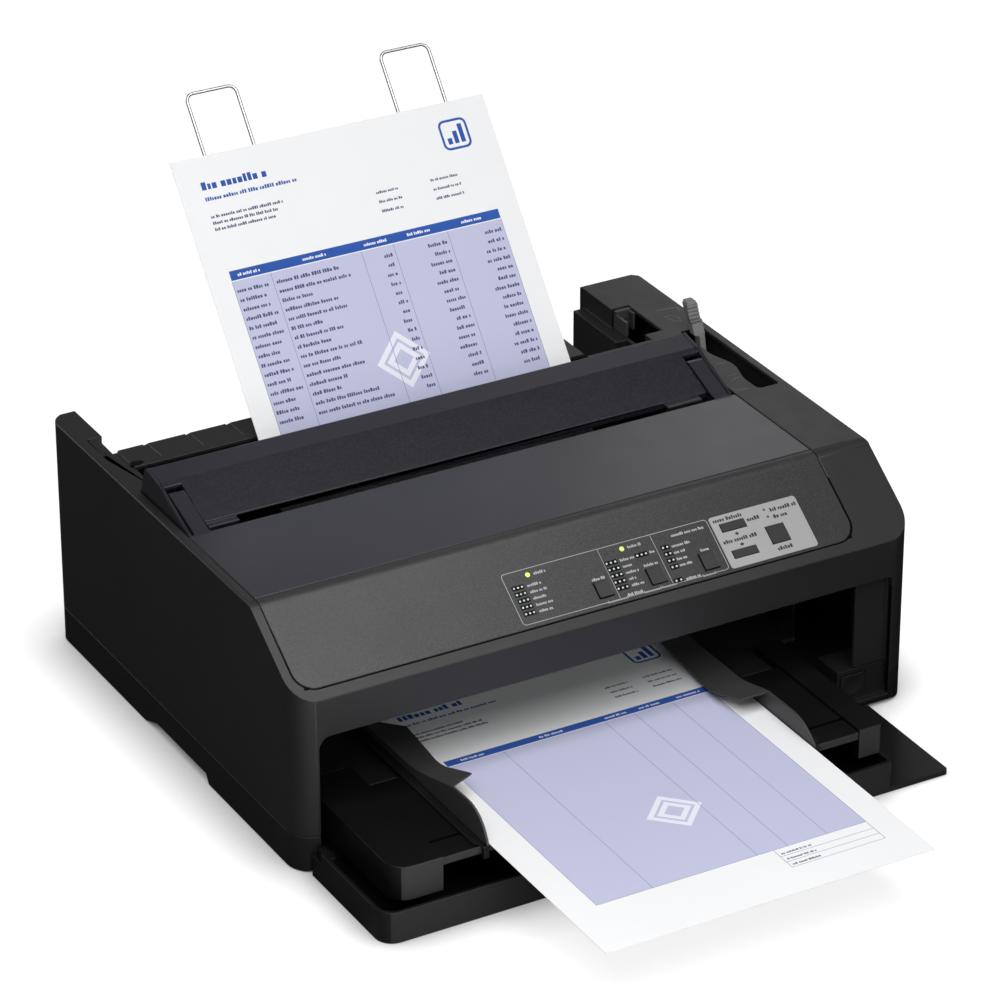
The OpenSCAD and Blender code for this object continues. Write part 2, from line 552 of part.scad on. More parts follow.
module ribbon_cartridge() { color([0.08, 0.08, 0.09]) org() {
  difference() {
    union() {
      xy(122.5, 139) polygon(rrect(-166, 156, 66, 122, [8, 8, 8, 8]));
      for (x = [-174, 150]) box([x, 118, 124], [x + 14, 146, 139]);
      for (x = [-174, 150]) box([x, 137, 104], [x + 14, 146, 126]);
    }
    for (x = [-174, 150]) box([x - 1, 144.4, 103.5], [x + 15, 145.2, 118]);
    // well of the ribbon knob
    rod_z(118, 92, 136.6, 141, 10);
    rod_z(118, 92, 130, 138, 2.5 + run_c);
  }
} }
module ink_ribbon() { color([0.03, 0.03, 0.04]) org() box([-173.6, 149.2, 105], [163.6, 149.5, 117.5]); }
module ribbon_knob() { color([0.15, 0.3, 0.6]) org() union() {
  xy(137, 144) translate([118, 92]) polygon([for (i = [0:35]) let (r = (i % 2 == 0) ? 8.6 : 7.9) [r*cos(i*10), r*sin(i*10)]]);
  rod_z(118, 92, 131, 137.1, 2.5);
} }
module main_board() { color([0.1, 0.32, 0.18]) org() {
  box([-176, 120, 14], [40, 300, 15.6]);
  for (x = [-150, -110, -60, -10], y = [150, 210]) box([x, y, 15.5], [x + 26, y + 20, 18.5]);
  for (x = [-140, -120, -100]) rod_z(x, 262, 15.5, 32, 7);
  for (x = [-172, 30], y = [124, 290]) rod_z(x + 2, y + 2, 9.02, 14.1, 3);
} }
module power_supply() { color([0.7, 0.68, 0.6]) org() {
  box([70, 176, 9.2], [150, 284, 11]);
  box([74, 182, 10.9], [76, 280, 60]);
  box([144, 182, 10.9], [146, 280, 60]);
  box([74, 182, 59], [146, 280, 60.4]);
  box([84, 194, 10.9], [120, 230, 40]);
  rod_z(100, 252, 10.9, 44, 12);
} }
module interface_connectors() { color([0.5, 0.5, 0.52]) org() difference() {
  box([-127.6, 290, 36.4], [-62.4, y1 - 0.4, 53.6]);
  box([-124, 302, 39.5], [-86, y1 + 1, 50.5]);
  box([-80, 302, 39], [-67.6, y1 + 1, 50]);
} }
module ac_inlet() { color([0.1, 0.1, 0.1]) org() {
  difference() {
    box([116.4, 290, 34.4], [145.6, y1 - 0.2, 55.6]);
    xz(293, y1 + 1) polygon([[119, 37], [143, 37], [143, 49], [139, 53], [123, 53], [119, 49]]);
  }
  for (x = [125, 131, 137]) box([x - 0.5, 288, x == 131 ? 46 : 42], [x + 0.5, y1 - 8, x == 131 ? 50 : 46]);
} }
module rubber_feet() { color([0.06, 0.06, 0.06]) org()
  for (x = [-186, 186], y = [20, 286]) difference() {
    union() { rod_z(x, y, 0, 2.4, 9); rod_z(x, y, 2.3, 6.5, 7.5); }
    rod_z(x, y, -1, 0.9, 4);
  }
}
module case_screws() { color([0.5, 0.5, 0.5]) org()
  for (x = screw_x, y = screw_y) difference() {
    union() {
      rod_z(x, y, 4.2, 6.5, 3.6);
      rod_z(x, y, 6.4, 36, 1.9);
    }
    box([x - 2.4, y - 0.4, 4], [x + 2.4, y + 0.4, 5.2]);
    box([x - 0.4, y - 2.4, 4], [x + 0.4, y + 2.4, 5.2]);
  }
}
module frame_screws() { color([0.7, 0.7, 0.7]) org()
  for (x = [-179, 165], y = [84, 214]) union() {
    rod_z(x, y, 10.9, 13, 3.4);
    rod_z(x, y, 7, 11, 1.75);
  }
}

module front_cover() { color([0.1, 0.1, 0.11]) org() {
  difference() {
    union() {
      xy(0, 3) polygon(rrect(-199.5, 177, -100, -14, [11, 3, 1, 1]));
      difference() {
        xy(0, 20) polygon(rrect(-199.5, 138, -100, -14, [11, 3, 0.5, 0.5]));
        xy(3, 21) polygon(rrect(-196.9, 135.4, -97.4, 20, [8.4, 1.5, 0.5, 0.5]));
      }
      // latch at the left
      box([-197.1, -30, 8], [-191.9, -16, 18]);
    }
    box([-194, -26, 10], [-191.5, -20, 15]);
    // lower rear end of the left wall
    box([-200, -25, 13], [-196.8, -13, 21]);
  }
  // hinge knuckles
  for (x = [-180, -60, 60, 150]) rod_x(x, x + 16, -16.5, 5.6, 2.4);
  for (x = [-180, -60, 60, 150]) box([x, -18.9, 2.9], [x + 16, -14.1, 5.6]);
} }

module front_guide_frame() { color([0.09, 0.09, 0.1]) org() {
  difference() {
    union() {
      // left arm, with a rounded front corner
      xy(17, 39) polygon(rrect(-186.5, -155, -88, 22, [12, 0.5, 0.5, 0.5]));
      // right arm
      xy(20.4, 39.6) polygon(rrect(121, 137.6, -87.6, 26, [0.5, 3, 0.5, 0.5]));
      // shelf with a lip
      box([-155.2, -86.6, 35], [121.2, 1.5, 37.5]);
      box([-155.2, -86.6, 32.4], [121.2, -84.4, 36]);
    }
    // arms hollow from below
    xy(16, 36.4) polygon(rrect(-184, -157.4, -85.6, 19.6, [9.6, 0.5, 0.5, 0.5]));
    xy(16, 37) polygon(rrect(123.4, 135.2, -85.2, 23.6, [0.5, 1, 0.5, 0.5]));
    // slots for the edge guides
    box([-156, -70, 34], [-128, -67.6, 38.2]);
    box([89.4, -70, 34], [122, -67.6, 38.2]);
  }
} }

// edge guide with its wall's inner face at xw, s = +1 when the sheet lies on its +X side;
// tp = bend line from the rear to the front, h = its height at the front, f = control point of the front curve
module edge_guide(xw, s, tp, h, f, fl) {
  n = len(tp) - 1;
  yz(min(xw, xw - s*1.5), max(xw, xw - s*1.5)) polygon(concat([[60, 37.8]], tp,
    [for (i = [0:10]) let (t = i/10) [(1 - t)*(1 - t)*-66 + 2*t*(1 - t)*f[0] + t*t*-90.2, (1 - t)*(1 - t)*h + 2*t*(1 - t)*f[1] + t*t*38.6]], [[-90.2, 37.8]]));
  // foot along the shelf
  xy(37.8, 38.6) polygon([[xw - s*0.2, 58], [xw - s*0.2, -88], [xw - s*7, -84], [xw - s*7, 50]]);
  // hook over the shelf's front edge
  box([min(xw - s*0.2, xw - s*3.8), -90.4, 31], [max(xw - s*0.2, xw - s*3.8), -88.6, 38.6]);
  box([min(xw - s*0.2, xw - s*3.8), -90.4, 31], [max(xw - s*0.2, xw - s*3.8), -87.2, 31.9]);
  box([min(xw - s*0.2, xw - s*3.8), -90.4, 37.8], [max(xw - s*0.2, xw - s*3.8), -84, 38.6]);
  // tongue in the slot
  box([min(xw - s*1.8, xw - s*6.2), -69.5, 33], [max(xw - s*1.8, xw - s*6.2), -68.1, 38]);
  // flange over the sheet, following the bend line
  intersection() {
    yz(xw - 40, xw + 40) polygon(concat(tp, [for (i = [n:-1:0]) [tp[i][0], tp[i][1] - 1.2]]));
    xy(30, 70) polygon(fl);
  }
}
module edge_guide_left() { color([0.2, 0.2, 0.21]) org()
  edge_guide(-126.9, 1, [[60, 43.6], [10, 43.8], [0, 44.2], [-8, 45.2], [-14, 46.4], [-22, 48.4], [-36, 52.4], [-49, 56]], 56.8, [-84, 56.8],
    [[-128.4, -48.6], [-126.8, -48.6], [-112, -39.5], [-111.2, -37], [-117, -17], [-117.4, 32], [-119.5, 38], [-125, 39], [-126.8, 55], [-128.4, 60]]);
}
module edge_guide_right() { color([0.2, 0.2, 0.21]) org()
  edge_guide(88.4, -1, [[60, 43], [0, 43], [-8, 43.2], [-13, 44], [-20, 45.6], [-30, 48.2], [-39, 50.3]], 50.6, [-80, 49.8],
    [[89.9, -39], [88.4, -39], [68, -38.4], [66, -37], [59.6, -18], [59.6, 32], [61.6, 38], [84, 39], [88, 52], [89.9, 60]]);
}

module sheet_front() { color([0.95, 0.95, 0.96]) org()
  box([-125.8, ymin, 38.3], [87.9, ymin + front_sheet_l, 38.3 + sheet_t]);
}
module sheet_rear() { color([0.95, 0.95, 0.96]) org()
  sheet_frame() box([-3 - rear_sheet_w/2, 176 - rear_sheet_l, 0], [-3 + rear_sheet_w/2, 176, sheet_t]);
}

// bar across the rear deck with two ears; leans against nothing, held by its hinge pins
module sheet_guide() { color([0.14, 0.14, 0.15]) org() {
  difference() {
    union() {
      // plate and hinge barrel in one section
      sheet_frame() yz(-98, 92) polygon(concat([[128, -4.6], [128, -2.4], [11, -2.4]],
        arc(hu, hn, 3.6, 105, 330, 16), [[16.5, -4.6]]));
      // ribs towards the sheet
      for (x = [-94, -20, 14, 88]) sheet_frame() box([x, 16, -2.5], [x + 2, 126, -0.8]);
      // wire channels at the back
      for (x = wx, u = [30, 100]) sheet_frame() box([x - 2.6, u, -10.8], [x + 2.6, u + 22, -4.5]);
    }
    for (x = wx) sheet_frame() translate([x, 20, -8]) rotate([-90, 0, 0]) cylinder(h = 120, r = wire_d/2 + 0.08, $fn = 32);
    rod_x(-99, -89.6, gy, gz, 1.5 + run_c);
    rod_x(83.6, 93, gy, gz, 1.5 + run_c);
  }
} }
module wire_loop(xa, xb) {
  r = wire_d/2; R = 5; u0 = 72; u1 = wu;
  sheet_frame() translate([0, 0, -8]) {
    for (x = [xa, xb]) translate([x, u0, 0]) rotate([-90, 0, 0]) cylinder(h = u1 - R - u0, r = r, $fn = 24);
    translate([xa + R, u1, 0]) rotate([0, 90, 0]) cylinder(h = xb - xa - 2*R, r = r, $fn = 24);
    translate([xa + R, u1 - R, 0]) rotate_extrude(angle = 90, start = 90, $fn = 48) translate([R, 0]) circle(r = r, $fn = 24);
    translate([xb - R, u1 - R, 0]) rotate_extrude(angle = 90, start = 0, $fn = 48) translate([R, 0]) circle(r = r, $fn = 24);
  }
}
module wire_support_left() { color([0.7, 0.7, 0.72]) org() wire_loop(wx[0], wx[1]); }
module wire_support_right() { color([0.7, 0.7, 0.72]) org() wire_loop(wx[2], wx[3]); }

module top_cover() { color([0.2, 0.2, 0.24]) org() {
  box([cxl + gap, yc0, deck_h - 2.6], [cxr - gap, 131.8, deck_h]);
  for (x = [[cxl + 4.4, cxl + 14.6], [cxr - 14.6, cxr - 4.2]]) {
    // arm from the cover up to its barrel
    yz(x[0], x[1]) polygon([[129, deck_h - 2.6], [131.8, deck_h - 2.6], [134, deck_h - 2.4], [by - 3, bz - 0.6], [by + 1, bz + barrel_r], [by - 3, bz + 4.2], [133, deck_h + 0.2], [129, deck_h]]);
    rod_x(x[0], x[1], by, bz, barrel_r);
  }
  // pins into the end caps and the lugs
  rod_x(cxl + 1.8, cxl + 16.8, by, bz, 1.6);
  rod_x(cxr - 16.8, cxr - 1.6, by, bz, 1.6);
} }

// lever with a narrow stem in the slot and a thumb piece that leans back
module release_lever() { color([0.42, 0.42, 0.43]) org() {
  difference() {
    union() {
      rod_x(187.8, 197.2, lev[0], lev[1], 8);
      yz(189.4, 196) polygon([[184, 72], [198, 68], [213.4, 136.5], [207, 138.4]]);
      yz(191.9, 196) polygon([[202, 121], [208.4, 119], [214.6, 149.5], [214.7, 152], [209.4, 152], [208.4, 150]]);
      yz(189, 196.7) polygon(thumb_pts(151.4, 160));
      yz(188, 195.8) polygon(thumb_pts(159.4, 169.6));
      yz(188.7, 195.1) polygon(thumb_pts(168, 171));
    }
    rod_x(186, 199, lev[0], lev[1], 3 + run_c);
    // ribbed grip
    for (z = [158.6:2.1:168]) translate([187, 204.6 + 0.475*(z - 141.5), z]) rotate([-25.4, 0, 0]) box([0, -0.5, -0.5], [10, 0.8, 0.5]);
  }
} }
// thumb piece between two heights, 6 thick along its lean
function thumb_pts(za, zb) = let (f = function (z) 204.6 + 0.475*(z - 141.5))
  [[f(za), za], [f(za) + 5.6, za], [f(zb) + 6.2, zb], [f(zb), zb]];

upper_case();
lower_case();
front_panel();
key_plate();
led_lenses();
control_board();
hump_cover();
ear_bracket();
frame_left();
frame_right();
carriage_rod();
carriage_rail();
carriage_motor();
pulley_bracket();
timing_belt();
feed_motor();
pressure_plate();
inner_front_guide();
paper_pan();
platen_bushes();
ribbon_cartridge();
ink_ribbon();
main_board();
power_supply();
interface_connectors();
ac_inlet();
rubber_feet();
case_screws();
frame_screws();
front_cover();
front_guide_frame();
top_cover();
release_lever();
platen_roller();
platen_shaft();
platen_gear();
platen_knob();
idler_gear();
feed_pinion();
pressure_rollers();
carriage();
print_head();
motor_pulley();
idler_pulley();
ribbon_knob();
sheet_guide();
wire_support_left();
wire_support_right();
edge_guide_left();
edge_guide_right();
sheet_rear();
sheet_front();
power_button();
load_key();
feed_key();
pause_key();
key_one();
key_two();
key_three();
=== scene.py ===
import bpy, bmesh, json, math, random
from mathutils import Vector, Matrix


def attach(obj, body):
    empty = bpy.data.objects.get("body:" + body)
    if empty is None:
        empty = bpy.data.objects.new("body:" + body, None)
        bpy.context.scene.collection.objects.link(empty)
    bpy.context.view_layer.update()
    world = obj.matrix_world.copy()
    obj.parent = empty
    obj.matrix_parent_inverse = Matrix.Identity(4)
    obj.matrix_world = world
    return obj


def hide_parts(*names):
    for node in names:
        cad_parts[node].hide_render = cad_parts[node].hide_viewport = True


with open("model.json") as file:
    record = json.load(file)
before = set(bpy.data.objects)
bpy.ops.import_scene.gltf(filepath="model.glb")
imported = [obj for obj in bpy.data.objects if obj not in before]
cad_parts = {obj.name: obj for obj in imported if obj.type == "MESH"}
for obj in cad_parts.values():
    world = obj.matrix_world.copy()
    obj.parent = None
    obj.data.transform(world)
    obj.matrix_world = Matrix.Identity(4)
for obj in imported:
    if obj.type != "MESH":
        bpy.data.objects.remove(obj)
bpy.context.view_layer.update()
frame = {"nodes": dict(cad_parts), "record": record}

N = frame["nodes"]

# machine frame (X from the body's middle, Y from the front plane, Z from the table, mm) to the part's frame
OX, OY = -6.5, -73.90386539276984


def P(x, y, z):
    return Vector(((x + OX) / 1000, (y + OY) / 1000, z / 1000))


PS = math.radians(35)
LEAN = math.radians(51.2)


def panel(x, s, n=0.0):
    """A point on the sloped panel: x across, s up the slope, n out of it, mm."""
    return P(x, s * math.cos(PS) - n * math.sin(PS), 120.4 + s * math.sin(PS) + n * math.cos(PS))


def rear(x, u, n=0.0):
    """A point on the rear sheet's plane: x across, u up it, n out of its front, mm."""
    return P(x, 220 + u * math.cos(LEAN) - n * math.sin(LEAN), 151 + u * math.sin(LEAN) + n * math.cos(LEAN))


def flat_at(z):
    """A level surface at height z, mm."""
    return lambda x, y, n=0.0: P(x, y, z + n)


# ---------------------------------------------------------------- camera and light
sc = bpy.context.scene
sc.view_settings.view_transform = "Standard"
sc.view_settings.look = "None"
cam_d = bpy.data.cameras.new("cam")
cam_d.sensor_width = 36
cam_d.lens = 36 * 4762.5 / 1000
cam_d.clip_start = 0.05
cam_d.clip_end = 30
cam = bpy.data.objects.new("cam", cam_d)
sc.collection.objects.link(cam)
cam.location = P(-1232.66, -2055.76, 1454.13)
cam.rotation_euler = (math.pi / 2 - 0.488, 0, -0.515)
sc.camera = cam


def softbox(name, loc, target, w, h, radiance, spread=180, color=(1, 1, 1)):
    """A rectangular studio light of the given radiance."""
    d = bpy.data.lights.new(name, "AREA")
    d.shape = "RECTANGLE"
    d.size = w
    d.size_y = h
    d.energy = radiance * math.pi * w * h
    d.color = color
    d.spread = math.radians(spread)
    o = bpy.data.objects.new(name, d)
    sc.collection.objects.link(o)
    o.location = loc
    o.rotation_euler = (Vector(target) - Vector(loc)).to_track_quat("-Z", "Y").to_euler()
    o.visible_camera = False
    return o


w = bpy.data.worlds.new("world")
w.use_nodes = True
wt = w.node_tree
wb = wt.nodes["Background"]
wb.inputs[0].default_value = (1, 1, 1, 1)
lp = wt.nodes.new("ShaderNodeLightPath")
tc = wt.nodes.new("ShaderNodeTexCoord")
dot = wt.nodes.new("ShaderNodeVectorMath")
dot.operation = "DOT_PRODUCT"
wt.links.new(tc.outputs["Generated"], dot.inputs[0])
dot.inputs[1].default_value = (0.49, 0.87, 0.0)
mr = wt.nodes.new("ShaderNodeMapRange")
mr.inputs["From Min"].default_value = -1.0
mr.inputs["From Max"].default_value = 1.0
wt.links.new(dot.outputs["Value"], mr.inputs["Value"])
cr = wt.nodes.new("ShaderNodeValToRGB")
el = cr.color_ramp.elements
el.new(0.5)
for e, (q, c) in zip(el, ((0.0, 0.30), (0.5, 0.04), (1.0, 0.21))):
    e.position = q
    e.color = (c, c, c, 1)
wt.links.new(mr.outputs[0], cr.inputs["Fac"])
mx = wt.nodes.new("ShaderNodeMix")
wt.links.new(lp.outputs["Is Camera Ray"], mx.inputs[0])
wt.links.new(cr.outputs["Color"], mx.inputs[2])
mx.inputs[3].default_value = 1.0
wt.links.new(mx.outputs[0], wb.inputs[1])
sc.world = w

softbox("overhead", (-0.30, -0.68, 1.15), (-0.30, -0.68, 0.0), 1.42, 1.2, 3.3)
softbox("right_rear", (0.78, 1.0, 0.72), (0.0, 0.1, 0.15), 0.30, 0.6, 1.2)
softbox("bend", (0.29, -0.06, 1.15), (0.29, -0.06, 0.0), 0.62, 0.11, 7.5)
softbox("front_strip", (0.9, -1.9, 0.9), (0.0, 0.0, 0.05), 1.5, 0.5, 3.5)
softbox("back_fill", (-0.9, 1.8, 0.5), (0.0, 0.1, 0.08), 1.2, 0.6, 2.2)
softbox("low_front", (-0.27, -0.75, 0.10), (-0.22, -0.05, 0.05), 0.30, 0.2, 1.0, 70)

me = bpy.data.meshes.new("floor")
s = 6.0
me.from_pydata([(-s, -s, -0.0002), (s, -s, -0.0002), (s, s, -0.0002), (-s, s, -0.0002)], [], [(0, 1, 2, 3)])
floor = bpy.data.objects.new("floor", me)
sc.collection.objects.link(floor)
fm = bpy.data.materials.new("floor")
fm.use_nodes = True
ft = fm.node_tree
fb = ft.nodes["Principled BSDF"]
fb.inputs["Base Color"].default_value = (0.38, 0.38, 0.38, 1)
fb.inputs["Roughness"].default_value = 0.9
fb.inputs["Specular IOR Level"].default_value = 0.0
fb.inputs["Emission Color"].default_value = (1, 1, 1, 1)
fb.inputs["Emission Strength"].default_value = 0.87
# painted contact shadow: ambient occlusion darkens the floor's glow and colour near the object
ao = ft.nodes.new("ShaderNodeAmbientOcclusion")
ao.inputs["Distance"].default_value = 0.04
ao.samples = 8
pw = ft.nodes.new("ShaderNodeMath")
pw.operation = "POWER"
ft.links.new(ao.outputs["AO"], pw.inputs[0])
pw.inputs[1].default_value = 1.2
for a, c in ((pw.outputs[0], fb.inputs["Emission Strength"]), (ao.outputs["Color"], fb.inputs["Base Color"])):
    m = ft.nodes.new("ShaderNodeMix")
    m.data_type = "RGBA"
    m.blend_type = "MULTIPLY"
    m.inputs[0].default_value = 1.0
    ft.links.new(a, m.inputs[6])
    m.inputs[7].default_value = (c.default_value, ) * 3 + (1,) if c.name == "Emission Strength" else tuple(c.default_value)
    ft.links.new(m.outputs[2], c)
# painted light: to every ray but camera rays the floor is dark, with a pale patch painted at y below -0.22 m and x
# below 0.08 m for the front faces to reflect
dk = ft.nodes.new("ShaderNodeBsdfDiffuse")
fc = ft.nodes.new("ShaderNodeTexCoord")
fs = ft.nodes.new("ShaderNodeSeparateXYZ")
ft.links.new(fc.outputs["Object"], fs.inputs[0])
fr = ft.nodes.new("ShaderNodeMapRange")
fr.inputs["From Min"].default_value = -0.22
fr.inputs["From Max"].default_value = -0.14
fr.inputs["To Min"].default_value = 0.50
fr.inputs["To Max"].default_value = 0.08
ft.links.new(fs.outputs["Y"], fr.inputs["Value"])
fx = ft.nodes.new("ShaderNodeMapRange")
fx.inputs["From Min"].default_value = 0.08
fx.inputs["From Max"].default_value = 0.20
fx.inputs["To Min"].default_value = 1.0
fx.inputs["To Max"].default_value = 0.10
ft.links.new(fs.outputs["X"], fx.inputs["Value"])
fp = ft.nodes.new("ShaderNodeMath")
fp.operation = "MULTIPLY"
ft.links.new(fr.outputs[0], fp.inputs[0])
ft.links.new(fx.outputs[0], fp.inputs[1])
ft.links.new(fp.outputs[0], dk.inputs["Color"])
lp = ft.nodes.new("ShaderNodeLightPath")
ms = ft.nodes.new("ShaderNodeMixShader")
ft.links.new(lp.outputs["Is Camera Ray"], ms.inputs[0])
ft.links.new(dk.outputs[0], ms.inputs[1])
ft.links.new(fb.outputs[0], ms.inputs[2])
ft.links.new(ms.outputs[0], ft.nodes["Material Output"].inputs["Surface"])
me.materials.append(fm)

# ---------------------------------------------------------------- materials
class E:
    """A socket of a shader tree with arithmetic."""

    def __init__(self, nt, sock):
        self.nt, self.sock = nt, sock

    def op(self, kind, *others):
        n = self.nt.nodes.new("ShaderNodeMath")
        n.operation = kind
        for k, v in enumerate((self,) + others):
            if isinstance(v, E):
                self.nt.links.new(v.sock, n.inputs[k])
            else:
                n.inputs[k].default_value = v
        return E(self.nt, n.outputs[0])

    def __add__(self, o): return self.op("ADD", o)
    def __sub__(self, o): return self.op("SUBTRACT", o)
    def __mul__(self, o): return self.op("MULTIPLY", o)


def tree(name):
    m = bpy.data.materials.new(name)
    m.use_nodes = True
    nt = m.node_tree
    return m, nt, nt.nodes["Principled BSDF"]


def coords(nt, scale=(1, 1, 1)):
    tc = nt.nodes.new("ShaderNodeTexCoord")
    mp = nt.nodes.new("ShaderNodeMapping")
    mp.inputs["Scale"].default_value = scale
    nt.links.new(tc.outputs["Object"], mp.inputs["Vector"])
    return mp.outputs["Vector"]


def noise(nt, vec, scale, detail=2.0, rough=0.5):
    n = nt.nodes.new("ShaderNodeTexNoise")
    n.inputs["Scale"].default_value = scale
    n.inputs["Detail"].default_value = detail
    n.inputs["Roughness"].default_value = rough
    nt.links.new(vec, n.inputs["Vector"])
    return n.outputs["Fac"]


def ramp(nt, fac, stops):
    n = nt.nodes.new("ShaderNodeValToRGB")
    el = n.color_ramp.elements
    while len(el) < len(stops):
        el.new(0.5)
    for e, (p, c) in zip(el, stops):
        e.position = p
        e.color = (*c, 1)
    nt.links.new(fac, n.inputs["Fac"])
    return n.outputs["Color"]


def bump(nt, height, dist, strength=1.0, normal=None):
    n = nt.nodes.new("ShaderNodeBump")
    n.inputs["Distance"].default_value = dist
    n.inputs["Strength"].default_value = strength
    nt.links.new(height, n.inputs["Height"])
    if normal is not None:
        nt.links.new(normal, n.inputs["Normal"])
    return n.outputs["Normal"]


def moulded(name, col, rough=0.5, spec=0.5, grain=1700.0, depth=0.00006, var=0.12, rvar=0.06, fleck=None, fleck_scale=900.0, glow=0.0, front_shade_and_fleck=False, foot=None, front=None):
    """Moulded plastic: fine spark-eroded grain, slight colour drift, roughness that varies with it."""
    m, nt, b = tree(name)
    vec = coords(nt)
    drift = noise(nt, vec, 9.0, 3.0)
    lo = tuple(c * (1 - var) for c in col)
    hi = tuple(c * (1 + var) for c in col)
    base = ramp(nt, drift, [(0.3, lo), (0.7, hi)])
    fine = noise(nt, vec, grain, 2.0, 0.6)
    lean = None
    if front_shade_and_fleck:
        # painted shade: the faces that lean toward the front get a far darker colour for the shade they lie in, and
        # only they carry flecks, the front's own speckled grain
        gn = nt.nodes.new("ShaderNodeNewGeometry")
        sx = nt.nodes.new("ShaderNodeSeparateXYZ")
        nt.links.new(gn.outputs["Normal"], sx.inputs[0])
        lean = E(nt, sx.outputs["Y"]).op("LESS_THAN", -0.25)
        mix = nt.nodes.new("ShaderNodeMix")
        mix.data_type = "RGBA"
        nt.links.new(lean.sock, mix.inputs[0])
        nt.links.new(base, mix.inputs[6])
        mix.inputs[7].default_value = (col[0] * 0.2, col[1] * 0.2, col[2] * 0.28, 1)
        base = mix.outputs[2]
    if fleck is not None:
        f = noise(nt, vec, fleck_scale, 1.0, 0.5)
        fm = ramp(nt, f, [(0.46, (0, 0, 0)), (0.62, (1, 1, 1))])
        mix = nt.nodes.new("ShaderNodeMix")
        mix.data_type = "RGBA"
        if front_shade_and_fleck:
            bw = nt.nodes.new("ShaderNodeRGBToBW")
            nt.links.new(fm, bw.inputs[0])
            nt.links.new((E(nt, bw.outputs[0]) * lean).sock, mix.inputs[0])
        else:
            nt.links.new(fm, mix.inputs[0])
        nt.links.new(base, mix.inputs[6])
        mix.inputs[7].default_value = (*fleck, 1)
        base = mix.outputs[2]
    if foot is not None:
        # painted shade: the strip that lies on the shelf, below the height foot, is painted black for the shadow it
        # lies in
        sz = nt.nodes.new("ShaderNodeSeparateXYZ")
        nt.links.new(vec, sz.inputs[0])
        mix = nt.nodes.new("ShaderNodeMix")
        mix.data_type = "RGBA"
        nt.links.new(E(nt, sz.outputs["Z"]).op("GREATER_THAN", foot).sock, mix.inputs[0])
        mix.inputs[6].default_value = (0.005, 0.005, 0.005, 1)
        nt.links.new(base, mix.inputs[7])
        base = mix.outputs[2]
    if front is not None:
        # painted reflection: faces that look straight to the front, at the front of the piece, get a lighter colour
        # that stands in for the pale table they reflect
        gn = nt.nodes.new("ShaderNodeNewGeometry")
        sx = nt.nodes.new("ShaderNodeSeparateXYZ")
        nt.links.new(gn.outputs["Normal"], sx.inputs[0])
        sy = nt.nodes.new("ShaderNodeSeparateXYZ")
        nt.links.new(vec, sy.inputs[0])
        on = E(nt, sx.outputs["Y"]).op("LESS_THAN", -0.85) * E(nt, sy.outputs["Y"]).op("LESS_THAN", -0.145)
        mix = nt.nodes.new("ShaderNodeMix")
        mix.data_type = "RGBA"
        nt.links.new(on.sock, mix.inputs[0])
        nt.links.new(base, mix.inputs[6])
        mix.inputs[7].default_value = (*front, 1)
        base = mix.outputs[2]
    nt.links.new(base, b.inputs["Base Color"])
    r = E(nt, noise(nt, vec, 60.0, 2.0)) * (2 * rvar) + (rough - rvar)
    nt.links.new(r.sock, b.inputs["Roughness"])
    b.inputs["Specular IOR Level"].default_value = spec
    nt.links.new(bump(nt, fine, depth), b.inputs["Normal"])
    if glow:
        b.inputs["Emission Color"].default_value = (*col, 1)
        b.inputs["Emission Strength"].default_value = glow
    return m


def metal(name, col, rough=0.3, brush=(1, 1, 1), grain=600.0, depth=0.00002):
    m, nt, b = tree(name)
    vec = coords(nt, brush)
    fine = noise(nt, vec, grain, 3.0, 0.6)
    base = ramp(nt, fine, [(0.3, tuple(c * 0.88 for c in col)), (0.7, tuple(min(1, c * 1.08) for c in col))])
    nt.links.new(base, b.inputs["Base Color"])
    b.inputs["Metallic"].default_value = 1.0
    r = E(nt, noise(nt, vec, 120.0, 2.0)) * 0.16 + (rough - 0.08)
    nt.links.new(r.sock, b.inputs["Roughness"])
    nt.links.new(bump(nt, fine, depth), b.inputs["Normal"])
    return m


def rubber(name, col, rough=0.75):
    return moulded(name, col, rough, 0.3, 900.0, 0.00008, 0.2, 0.08)


